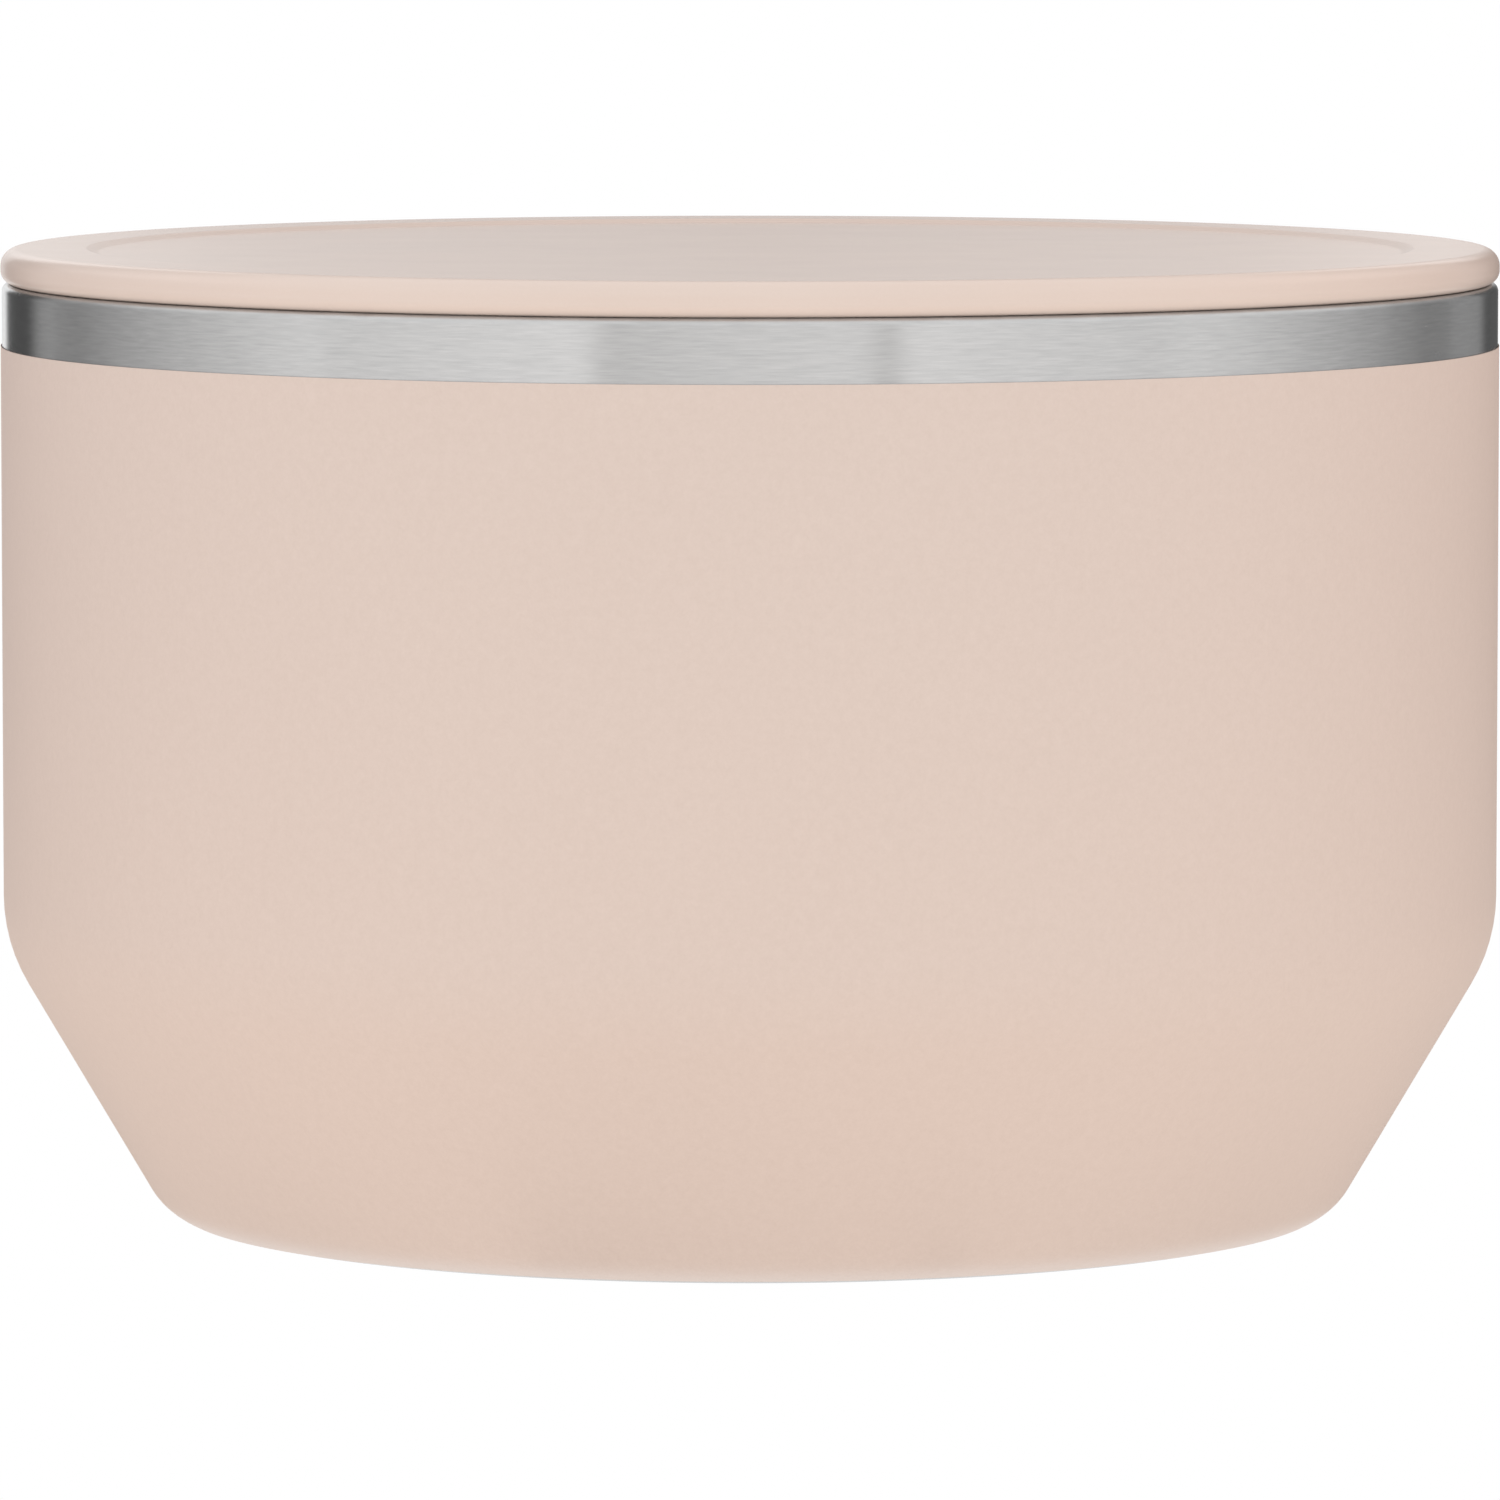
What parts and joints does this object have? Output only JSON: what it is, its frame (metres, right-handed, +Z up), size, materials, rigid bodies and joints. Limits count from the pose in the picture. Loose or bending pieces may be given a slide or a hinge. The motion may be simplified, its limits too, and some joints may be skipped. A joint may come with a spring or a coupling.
{
  "type": "insulated food container",
  "caption": "Vacuum-walled steel food bowl with a chamfered base, a matte coat below a bare steel band at the mouth, and a lift-off plastic lid with a silicone wiper seal.",
  "frame": {"origin": "on the vertical axis, in the plane of the foot ring's underside, where the container stands", "axes": "+Z up through the lid; X and Y level, the form being round, with the picture taken from the -Y side"},
  "size_m": [0.14, 0.14, 0.0909],
  "materials": {
    "brushed_steel": "fine brushing around the axis",
    "liner_steel": "satin, spun around the axis",
    "powder_coat": "fine-grained matte powder coat on steel",
    "lid_plastic": "satin moulded plastic",
    "silicone": "matte moulded silicone",
    "solder_glass": "fused opaque bead",
    "getter_alloy": "pressed sintered powder"
  },
  "bodies": {
    "container": {"outer_shell": "brushed_steel", "powder_coat": "powder_coat", "inner_liner": "liner_steel", "base_plate": "liner_steel", "base_cap": "brushed_steel", "vacuum_seal": "solder_glass", "getter": "getter_alloy", "getter_strap": "liner_steel"},
    "lid": {"lid": "lid_plastic", "lid_seal": "silicone"}
  },
  "joints": [
    {"name": "lid_lift", "type": "slide", "parent": "container", "child": "lid", "axis": [0, 0, 1], "range_m": [0, 0.06]}
  ]
}
